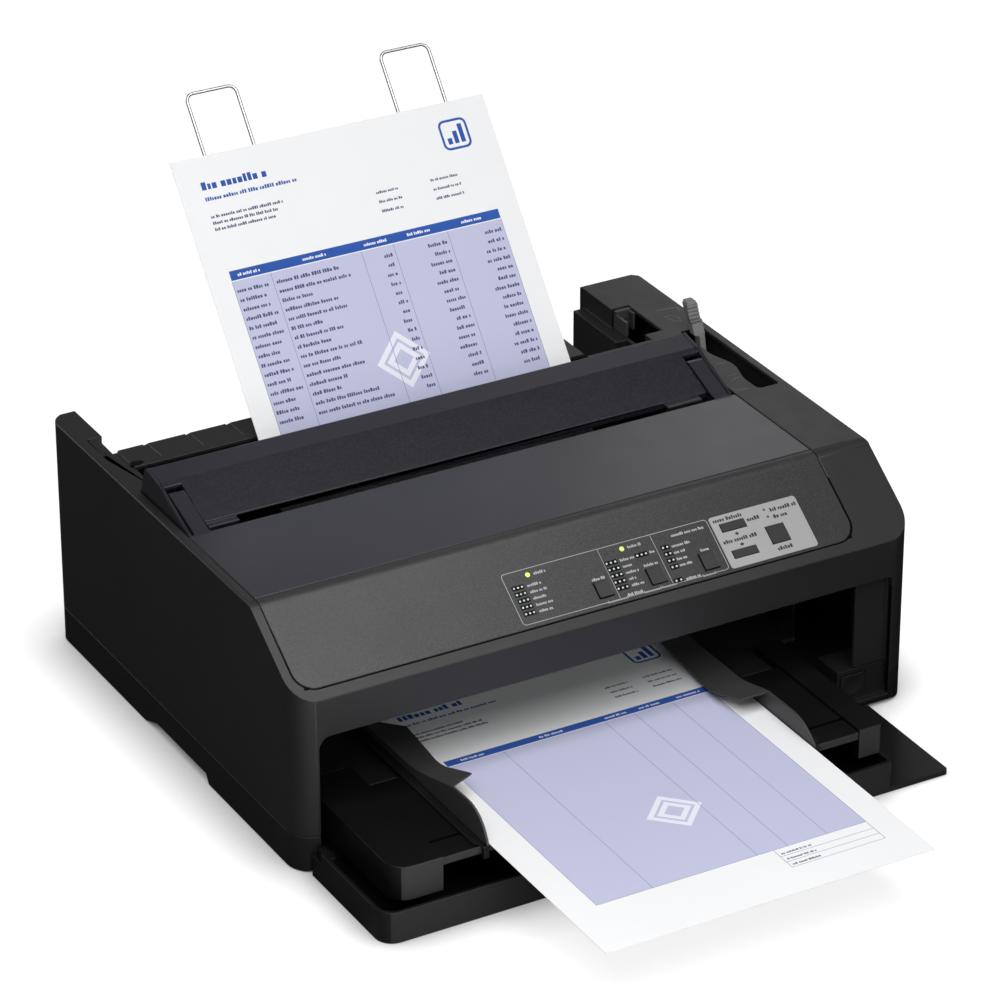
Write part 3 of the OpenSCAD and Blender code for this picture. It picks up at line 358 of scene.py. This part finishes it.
M = {
    "case": moulded("case_black", (0.013, 0.013, 0.0133), 0.44, 0.45),
    "case_low": moulded("case_lower", (0.009, 0.009, 0.0093), 0.5, 0.3),
    # front paints the tray's and the arm's front faces lighter, a painted reflection of the table
    "tray": moulded("tray_black", (0.0045, 0.0045, 0.0047), 0.42, 0.24, front=(0.02, 0.02, 0.02)),
    "arm": moulded("arm_black", (0.0026, 0.0026, 0.0028), 0.42, 0.26, front=(0.04, 0.04, 0.04)),
    # foot paints the guide's strip on the shelf black, a painted shadow
    "guide": moulded("guide_grey", (0.040, 0.040, 0.041), 0.5, 0.35, 2200.0, 0.00003, foot=0.0392),
    "bar": moulded("bar_black", (0.013, 0.013, 0.0133), 0.46, 0.42),
    "panel": moulded("panel_grey", (0.018, 0.018, 0.0182), 0.38, 0.47, fleck=(0.034, 0.034, 0.034), fleck_scale=1300.0),
    "plate": moulded("plate_grey", (0.33, 0.33, 0.333), 0.5, 0.4, 2600.0, 0.00002, 0.04),
    "key": moulded("key_black", (0.018, 0.018, 0.019), 0.5, 0.45, 2200.0, 0.00003),
    "smoke": moulded("cover_smoke", (0.018, 0.018, 0.025), 0.33, 0.5, 1500.0, 0.000015, 0.05, 0.03),
    # the hump's front faces are painted darker, a painted shade, and carry its flecks
    "hump": moulded("hump_smoke", (0.016, 0.016, 0.023), 0.42, 0.5, 1100.0, 0.00006, 0.08, 0.05, fleck=(0.010, 0.010, 0.020), fleck_scale=760.0, front_shade_and_fleck=True),
    "lever": moulded("grey_plastic", (0.17, 0.17, 0.172), 0.5, 0.45, 1500.0, 0.00004),
    "bracket": moulded("bracket_dark", (0.045, 0.045, 0.046), 0.5, 0.45, 1500.0, 0.00004),
    "inner": moulded("inner_black", (0.008, 0.008, 0.008), 0.6, 0.3),
    "gear": moulded("gear_white", (0.68, 0.65, 0.55), 0.42, 0.5, 900.0, 0.00002, 0.05),
    "knob": moulded("knob_blue", (0.03, 0.09, 0.32), 0.45, 0.5),
    "board": moulded("board_green", (0.012, 0.10, 0.045), 0.3, 0.5, 500.0, 0.00002, 0.25),
    "motor": moulded("motor_black", (0.03, 0.03, 0.032), 0.4, 0.5, 700.0, 0.00003),
    "belt": rubber("belt", (0.012, 0.012, 0.012)),
    "roller": rubber("roller_rubber", (0.016, 0.016, 0.017), 0.62),
    "foot": rubber("foot_rubber", (0.014, 0.014, 0.014)),
    "ribbon": moulded("ribbon", (0.006, 0.006, 0.008), 0.9, 0.1, 2500.0, 0.00008),
    "sheet_metal": metal("steel_sheet", (0.52, 0.52, 0.53), 0.38, (1, 6, 6)),
    "rod": metal("steel_rod", (0.66, 0.66, 0.68), 0.18, (1, 20, 20)),
    "wire": metal("wire", (0.72, 0.72, 0.74), 0.40, (8, 8, 8)),
    "supply": metal("supply_metal", (0.48, 0.46, 0.40), 0.42, (2, 6, 2)),
    "lens": moulded("lens_dim", (0.10, 0.12, 0.09), 0.2, 0.6, 900.0, 0.00001, 0.05),
    "lit": moulded("lens_lit", (0.62, 0.80, 0.16), 0.2, 0.6, 900.0, 0.00001, 0.08, glow=0.25),
    "dot": moulded("dot_white", (0.62, 0.66, 0.62), 0.4, 0.5, 900.0, 0.00001, 0.08),
    "window": moulded("window_dark", (0.003, 0.004, 0.0035), 0.6, 0.05, 900.0, 0.00001, 0.08),
    "mark": moulded("mark_grey", (0.40, 0.40, 0.40), 0.5, 0.4, 2600.0, 0.00001, 0.1),
    "mark_dark": moulded("mark_dark", (0.022, 0.022, 0.024), 0.5, 0.4, 2600.0, 0.00001, 0.1),
    # black laid where a gap or groove lies in shade, a painted shade
    "seam": moulded("seam_black", (0.002, 0.002, 0.002), 0.7, 0.05, 2600.0, 0.00001, 0.1),
    "mark_deck": moulded("mark_deck", (0.10, 0.10, 0.10), 0.5, 0.4, 2600.0, 0.00001, 0.1),
    "mark_blue": moulded("mark_blue", (0.06, 0.12, 0.36), 0.5, 0.4, 2600.0, 0.00001, 0.1),
    "paper": moulded("paper", (0.82, 0.825, 0.835), 0.85, 0.2, 2600.0, 0.00003, 0.012, 0.03),
    "ink_blue": moulded("ink_blue", (0.026, 0.091, 0.376), 0.8, 0.2, 2600.0, 0.00002, 0.06),
    "ink_lilac": moulded("ink_lilac", (0.50, 0.51, 0.68), 0.85, 0.2, 2600.0, 0.00002, 0.012),
    "ink_pale": moulded("ink_pale", (0.76, 0.76, 0.86), 0.85, 0.2, 2600.0, 0.00002, 0.012),
    "ink_line": moulded("ink_line", (0.20, 0.22, 0.40), 0.85, 0.2, 2600.0, 0.00002, 0.03),
    "ink_dark": moulded("ink_dark", (0.07, 0.08, 0.17), 0.85, 0.2, 2600.0, 0.00002, 0.1),
}
SLOT = {
    "case_black": "case", "panel_grey": "panel", "plate_grey": "plate", "key_black": "key", "lens": "lens", "cover_smoke": "smoke",
    "hump_smoke": "hump", "board_green": "board", "steel_sheet": "sheet_metal", "steel_rod": "rod", "motor_black": "motor", "belt": "belt",
    "roller_rubber": "roller", "gear_white": "gear", "grey_plastic": "lever", "inner_black": "inner", "ribbon": "ribbon",
    "knob_blue": "knob", "supply_metal": "supply", "foot_rubber": "foot", "paper": "paper", "wire": "wire",
}
FINISH = {"lower_case": "case_low", "front_cover": "tray", "front_guide_frame": "arm", "edge_guide_left": "guide", "edge_guide_right": "guide",
          "sheet_guide": "bar", "power_button": "case_low", "ear_bracket": "bracket"}
NODE_SLOT = {sp["node"]: sp["material_slot"] for sp in frame["record"]["subparts"]}
NODE_BODY = {n: b for b, ns in frame["record"]["behaviour"]["bodies"].items() for n in ns}


# ---------------------------------------------------------------- geometry helpers
def smooth(me, angle=32):
    me.polygons.foreach_set("use_smooth", [True] * len(me.polygons))
    me.set_sharp_from_angle(angle=math.radians(angle))


def piece(me, name, mat, body, nodes=(), sharp=32):
    """Link a mesh as a finished piece that rides on a body and stands for CAD nodes."""
    if len(me.materials) == 0:
        me.materials.append(mat)
    smooth(me, sharp)
    o = bpy.data.objects.new(name, me)
    sc.collection.objects.link(o)
    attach(o, body)
    for n in nodes:
        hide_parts(n)
    return o


def refine(node, mat=None, bevel=0.35, seg=2, angle=32, shortest=0.9, pick=None, shape=None):
    """The CAD node's own shape, welded into whole faces, with its mould's edge radii."""
    bm = bmesh.new()
    bm.from_mesh(N[node].data)
    bmesh.ops.remove_doubles(bm, verts=bm.verts, dist=2e-6)
    if shape is not None:
        for v in bm.verts:
            shape(v)
    bmesh.ops.dissolve_limit(bm, angle_limit=math.radians(0.25), verts=bm.verts, edges=bm.edges)
    wl = bm.edges.layers.float.new("bevel_weight_edge")
    lim = math.radians(angle)
    for e in bm.edges:
        if len(e.link_faces) == 2 and e.calc_face_angle(0) > lim and e.calc_length() > shortest / 1000:
            e[wl] = 1.0 if pick is None else pick(e)
    me = bpy.data.meshes.new(node + "_body")
    bm.to_mesh(me)
    bm.free()
    slot = NODE_SLOT[node]
    o = piece(me, node + "_body", mat or M[FINISH.get(node, SLOT[slot])], NODE_BODY[node], [node])
    md = o.modifiers.new("edge", "BEVEL")
    md.width = bevel / 1000
    md.segments = seg
    md.limit_method = "WEIGHT"
    md.use_clamp_overlap = False
    md.miter_outer = "MITER_SHARP"
    wn = o.modifiers.new("shade", "WEIGHTED_NORMAL")
    wn.keep_sharp = True
    wn.weight = 90
    return o


class Ink:
    """Closed thin slabs on a surface, gathered into one mesh."""

    def __init__(self, at, low=-0.01, high=0.03):
        self.at, self.low, self.high, self.v, self.f = at, low, high, [], []

    def poly(self, pts, high=None):
        h = self.high if high is None else high
        k, n = len(self.v), len(pts)
        self.v += [self.at(x, y, self.low) for x, y in pts] + [self.at(x, y, h) for x, y in pts]
        self.f += [tuple(k + i for i in reversed(range(n))), tuple(k + n + i for i in range(n))]
        self.f += [(k + i, k + (i + 1) % n, k + n + (i + 1) % n, k + n + i) for i in range(n)]
        return self

    def rect(self, x0, y0, x1, y1, high=None):
        return self.poly([(x0, y0), (x1, y0), (x1, y1), (x0, y1)], high)

    def disc(self, x, y, r, seg=16, high=None):
        return self.poly([(x + r * math.cos(2 * math.pi * i / seg), y + r * math.sin(2 * math.pi * i / seg)) for i in range(seg)], high)

    def line(self, pts, w, closed=False, high=None):
        """A strip of width w along a run of points, mitred at its corners."""
        h = self.high if high is None else high
        n = len(pts)
        k = len(self.v)
        L, R = [], []
        for i in range(n):
            a = Vector(pts[i - 1]) if closed or i else None
            b = Vector(pts[i])
            c = Vector(pts[(i + 1) % n]) if closed or i < n - 1 else None
            d1 = (b - a).normalized() if a is not None else None
            d2 = (c - b).normalized() if c is not None else None
            d1 = d1 or d2
            d2 = d2 or d1
            n1, n2 = Vector((-d1.y, d1.x)), Vector((-d2.y, d2.x))
            m = (n1 + n2).normalized()
            m = m * (w / 2 / max(0.4, m.dot(n1)))
            L.append(b + m)
            R.append(b - m)
        for q in (self.low, h):
            self.v += [self.at(p.x, p.y, q) for p in L] + [self.at(p.x, p.y, q) for p in R]
        for i in range(n if closed else n - 1):
            j = (i + 1) % n
            self.f += [(k + i, k + j, k + n + j, k + n + i),
                       (k + 2 * n + i, k + 3 * n + i, k + 3 * n + j, k + 2 * n + j),
                       (k + i, k + 2 * n + i, k + 2 * n + j, k + j),
                       (k + n + i, k + n + j, k + 3 * n + j, k + 3 * n + i)]
        if not closed:
            self.f += [(k, k + n, k + 3 * n, k + 2 * n), (k + n - 1, k + 3 * n - 1, k + 4 * n - 1, k + 2 * n - 1)]
        return self

    def words(self, rng, x0, x1, y, h, high=None):
        """A run of small blocks in uneven groups, the grain of print without letters."""
        x = x0
        while x < x1 - h * 0.4:
            for _ in range(rng.randint(2, 7)):
                bw = h * rng.choice((0.42, 0.5, 0.62))
                if x + bw > x1:
                    return self
                top = y + h * rng.choice((0.72, 0.72, 1.0))
                self.rect(x, y, x + bw, top, high)
                x += bw + h * 0.17
            x += h * 0.42
        return self

    def make(self, name, mat, body):
        me = bpy.data.meshes.new(name)
        me.from_pydata([tuple(v) for v in self.v], [], self.f)
        bm = bmesh.new()
        bm.from_mesh(me)
        bmesh.ops.recalc_face_normals(bm, faces=bm.faces)
        bm.to_mesh(me)
        bm.free()
        return piece(me, name, mat, body, ())


def arc(cx, cy, r, a0, a1, n=6):
    return [(cx + r * math.cos(math.radians(a0 + (a1 - a0) * i / n)), cy + r * math.sin(math.radians(a0 + (a1 - a0) * i / n))) for i in range(n + 1)]


def rrect(x0, y0, x1, y1, r):
    return arc(x0 + r, y0 + r, r, 180, 270) + arc(x1 - r, y0 + r, r, 270, 360) + arc(x1 - r, y1 - r, r, 0, 90) + arc(x0 + r, y1 - r, r, 90, 180)


FLANGE = {
    "edge_guide_left": (-125.2, 1, ((-39.5, -110.0), (-37, -108.6), (-36, -108.8), (-22, -111.2), (-17, -112.6), (-14, -113.0), (-8, -113.2), (0, -112.6), (10, -111.2), (32, -109.4), (60, -107.2))),
    "edge_guide_right": (86.7, -1, ((-38.4, 79.0), (-37, 72.0), (-30, 68.9), (-20, 66.6), (-18, 66.2), (-13, 66.2), (-8, 66.4), (0, 67.1), (32, 69.8), (60, 72.0)))}


def flange(node):
    """The flange over the sheet drawn out to its full outline: its free edge and its rear end."""
    wall, s, edge = FLANGE[node]

    def move(v):
        x, y, z = v.co.x * 1000 - OX, v.co.y * 1000 - OY, v.co.z * 1000
        if z < 41.0 or (x - wall) * s < -0.35 or y < (-40.0 if s > 0 else -38.6):
            return
        if y > 36:
            near = (x - wall) * s
            y = 56.5 if near < 2.0 else (53.0 if near < 5 or y > 38.5 else 40.0)
            if near < 0.3:
                v.co = P(x, 57.0, z)
                return
        for (ya, xa), (yb, xb) in zip(edge, edge[1:]):
            if ya <= y <= yb:
                x = xa + (xb - xa) * (y - ya) / (yb - ya)
        v.co = P(x, y, z)
    return move


BEV = {"upper_case": 0.4, "lower_case": 0.4, "front_panel": 0.5, "top_cover": 0.45, "hump_cover": 0.45, "front_guide_frame": 0.5,
       "front_cover": 0.4, "release_lever": 0.4, "platen_knob": 0.3, "sheet_guide": 0.3, "ear_bracket": 0.25, "power_button": 0.4,
       "key_plate": 0.1, "edge_guide_left": 0.2, "edge_guide_right": 0.2, "load_key": 0.28, "feed_key": 0.28, "pause_key": 0.28,
       "key_one": 0.28, "key_two": 0.28, "key_three": 0.28}
for n in sorted(N):
    if n in BEV:
        # the thin walls round the slots of the front guide keep their sharp edges, so that the tongues run clear
        keep = (lambda e: 0.0 if all(-70.6 < v.co.y * 1000 - OY < -67.0 for v in e.verts) else 1.0) if n == "front_guide_frame" else None
        refine(n, bevel=BEV[n], pick=keep, shape=flange(n) if n in FLANGE else None)
    elif n != "led_lenses":
        o = N[n]
        o.data.materials.clear()
        o.data.materials.append(M[FINISH.get(n, SLOT[NODE_SLOT[n]])])

# ---------------------------------------------------------------- print on the front panel
BODY = NODE_BODY["front_panel"]
rng = random.Random(11)
k = Ink(panel)
k.line(rrect(-55.8, -5.2, 82.2, 28.7, 2.2), 0.34, True)
k.line([(8.4, 28.3), (8.4, -4.4)], 0.28)
k.line([(43.9, 28.3), (43.9, -4.4)], 0.28)
for x0, x1 in ((0.3, 13.3), (24.5, 35.5), (36.7, 46.0), (64.3, 72.7)):
    k.line([(x0, -4.1), (x0, -5.7), (x1, -5.7), (x1, -4.1)], 0.28)
for x0, x1, y in ((-35.8, -27.3, 23.7), (-3.4, 5.1, 9.8), (27.1, 36.6, 24.0), (39.0, 42.7, 17.3), (31.6, 41.5, 9.9), (56.6, 79.5, 23.6), (53.8, 67.6, 17.1),
                  (53.5, 60.9, 12.9), (53.3, 60.7, 8.5), (53.3, 61.8, 4.4), (70.0, 75.4, 9.8), (13.8, 24.4, -4.9), (53.1, 63.8, -4.9)):
    k.words(rng, x0, x1, y, 1.75)
for i in range(5):
    k.words(rng, -42.9, (-33.7, -30.3)[i % 2], 17.3 - i * 4.27, 1.7)
    k.words(rng, 18.9, (28.7, 25.9, 27.8, 24.5, 27.1)[i], 17.2 - i * 4.22, 1.7)
k.make("panel_print", M["mark"], BODY)
DOTS = [(-51.5 + j * 2.6, 18.4 - i * 4.27) for i in range(5) for j in range(3)]
DOTS += [(9.9 + j * 2.9, 18.1 - i * 4.23) for i in range(5) for j in range(3)]
DOTS += [(48.2 + j * 2.8, 18.4 - i * 4.43) for i in range(4) for j in range(2)]
DOTS += [(30.6 + j * 2.9, 18.0) for j in range(3)] + [(46.6, -3.7), (49.8, -3.7)]
k = Ink(panel)
ROWS = {}
for x, y in DOTS:
    ROWS.setdefault((round(y, 2), x > 8, x > 29, x > 40), []).append(x)
for (y, *_), xs in ROWS.items():
    k.rect(min(xs) - 1.35, y - 1.5, max(xs) + 1.35, y + 1.5)
k.make("panel_windows", M["window"], BODY)
k = Ink(panel, -2.3, 0.25)
for x, y in DOTS:
    k.disc(x, y, 0.62)
dots = k.make("lens_dots", M["dot"], BODY)
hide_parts("led_lenses")
k = Ink(panel, -2.3, 0.35)
k.disc(-39.7, 24.6, 1.5, 24).disc(23.2, 24.7, 1.5, 24)
k.make("lens_lit", M["lit"], BODY)
k = Ink(panel, -2.3, 0.6)
k.disc(120.5, 24.7, 0.8, 20).disc(120.8, 19.8, 0.8, 20)
k.make("lens_plate", M["lens"], BODY)
k = Ink(panel)
for x in (-49.3, -45.1, 13.1, 17.4, 48.4, 52.0):
    k.disc(x, 24.7, 0.95, 16)
k.make("panel_dim_marks", M["mark_dark"], BODY)

# painted shade: black strips stand for the shadow in the thin gap round the panel and for the shade in the groove
# inside the right pillar
CXL, CXR = -201.3, 170.5
k = Ink(panel, -0.3, 0.04)
k.line([(CXL, 34.0)] + arc(CXL + 12.7, 4.2, 12.7, 180, 270, 8) + arc(CXR - 12.7, 4.2, 12.7, 270, 360, 8) + [(CXR, 34.0)], 0.85)
k.make("panel_seam", M["seam"], BODY)
k = Ink(lambda a, b, n=0.0: P(191.7 - n, a, b), -0.3, 0.05)
k.rect(-12.6, 2.0, -9.6, 80.0)
k.make("pillar_groove_shade", M["seam"], NODE_BODY["upper_case"])

# print on the light key plate
k = Ink(lambda x, y, n=0.0: panel(x, y, n + 0.45))
k.words(rng, 85.6, 106.0, 24.6, 2.4)
k.words(rng, 107.0, 117.0, 20.2, 2.4)
k.words(rng, 123.9, 142.1, 22.4, 2.4)
k.words(rng, 124.3, 135.1, 17.7, 2.4)
k.words(rng, 85.8, 109.2, 10.0, 2.4)
k.words(rng, 117.2, 127.2, -2.8, 2.4)
for y in (14.7, 7.4):
    k.poly([(95.4, y), (96.9, y - 1.1), (98.4, y), (96.9, y + 1.1)])
k.make("plate_print", M["mark_dark"], BODY)

# line icons on the deck beside the lever
k = Ink(flat_at(150), -0.01, 0.03)
k.line([(188.3, 255.7), (202.6, 253.8), (201.9, 248.3)], 0.8)
k.line([(188.9, 245.5), (190.5, 237.7), (194.7, 235.3), (196.4, 240.6), (193.0, 246.0)], 0.7, True)
k.line([(181.3, 172.3), (187.6, 171.2)], 0.7)
k.line([(185.4, 154.6), (179.9, 155.2)], 0.7)
k.line([(177.8, 148.4), (184.6, 150.9)], 0.7)
k.line([(181.7, 134.1), (172.9, 135.9)], 0.7)
k.make("deck_icons", M["mark_deck"], NODE_BODY["upper_case"])

# ---------------------------------------------------------------- print on the two sheets
def form(name, at, body, x0, x1, bar, low, foot, rows, cols, seed, typed):
    """A plain form: heading, bar, tinted block ruled in columns, and a foot."""
    rng = random.Random(seed)
    k = Ink(at, -0.01, 0.02)
    k.rect(x0, low, x1, bar - 6.6)
    k.make(name + "_tint", M["ink_lilac"], body)
    k = Ink(at, -0.01, 0.03)
    k.rect(x0, bar - 6.0, x1, bar)
    cx, cy = x1 - 12, bar + 52
    k.line(rrect(cx - 9, cy - 9, cx + 9, cy + 9, 3.5), 1.5, True)
    for i, h in enumerate((4, 8, 12)):
        k.rect(cx - 6 + i * 4.5, cy - 6, cx - 3 + i * 4.5, cy - 6 + h)
    k.words(rng, x0, x0 + 46, bar + 52, 5.0)
    k.words(rng, x0, x0 + 62, bar + 45, 2.4)
    k.make(name + "_blue", M["ink_blue"], body)
    k = Ink(at, -0.01, 0.036)
    for c in cols[1:-1]:
        k.rect(c - 0.16, low, c + 0.16, bar - 6.6)
    k.line([(x0, bar - 6.6), (x0, low), (x1, low), (x1, bar - 6.6)], 0.3)
    for d in (8, 14, 20):
        k.rect(x1 - 62, low - d, x1, low - d + 0.3)
    k.rect(x1 - 62, low - 20, x1 - 61.7, low)
    k.rect(x1 - 0.3, low - 20, x1, low)
    k.make(name + "_rules", M["ink_line"], body)
    k = Ink(at, -0.01, 0.034)
    for d in (34, 30, 26):
        k.words(rng, x0, x0 + rng.uniform(30, 52), bar + d, 1.9)
    for d in (26, 20, 14):
        k.words(rng, cols[3], cols[3] + 16, bar + d, 1.7)
        k.words(rng, cols[4], cols[4] + 20, bar + d, 1.7)
    for d in (6.2, 12.2, 18.2):
        k.words(rng, x1 - 60, x1 - 40, low - d, 1.7)
    if typed:
        for i in range(rows):
            y = bar - 14 - i * 6.0
            k.words(rng, cols[0] + 1.5, cols[0] + rng.uniform(17, 24), y, 2.3)
            k.words(rng, cols[1] + 2, cols[1] + rng.uniform(22, cols[2] - cols[1] - 4), y, 2.3)
            k.words(rng, cols[3] - rng.uniform(7, 10), cols[3] - 2, y, 2.3)
            k.words(rng, cols[4] - rng.uniform(12, 18), cols[4] - 2, y, 2.3)
            k.words(rng, x1 - rng.uniform(13, 19), x1 - 2, y, 2.3)
    k.make(name + "_print", M["ink_dark"], body)
    k = Ink(at, -0.01, 0.036)
    for a, b in zip(cols[:-1], cols[1:]):
        m = (a + b) / 2
        hw = min(8, (b - a) / 2 - 2)
        k.words(rng, m - hw, m + hw, bar - 4.0, 1.9)
    k.make(name + "_heads", M["ink_pale"], body)
    k = Ink(at, -0.01, 0.028)
    mx, my = (x0 + x1) / 2, (bar + low) / 2 - 24
    for r in (9, 16):
        k.line([(mx + r, my), (mx, my + r), (mx - r, my), (mx, my - r)], 3.2, True)
    k.make(name + "_mark", M["ink_pale"], body)


form("rear_form", lambda x, y, n=0.0: rear(x, y, n + 0.3), NODE_BODY["sheet_rear"], -96, 90, 103, -4, 0, 15, (-96, -70, -8, 14, 52, 90), 3, True)
form("front_form", flat_at(38.6), NODE_BODY["sheet_front"], -106, 70, 1.5, -172, 0, 0, (-106, -70, -2, 18, 44, 70), 5, False)
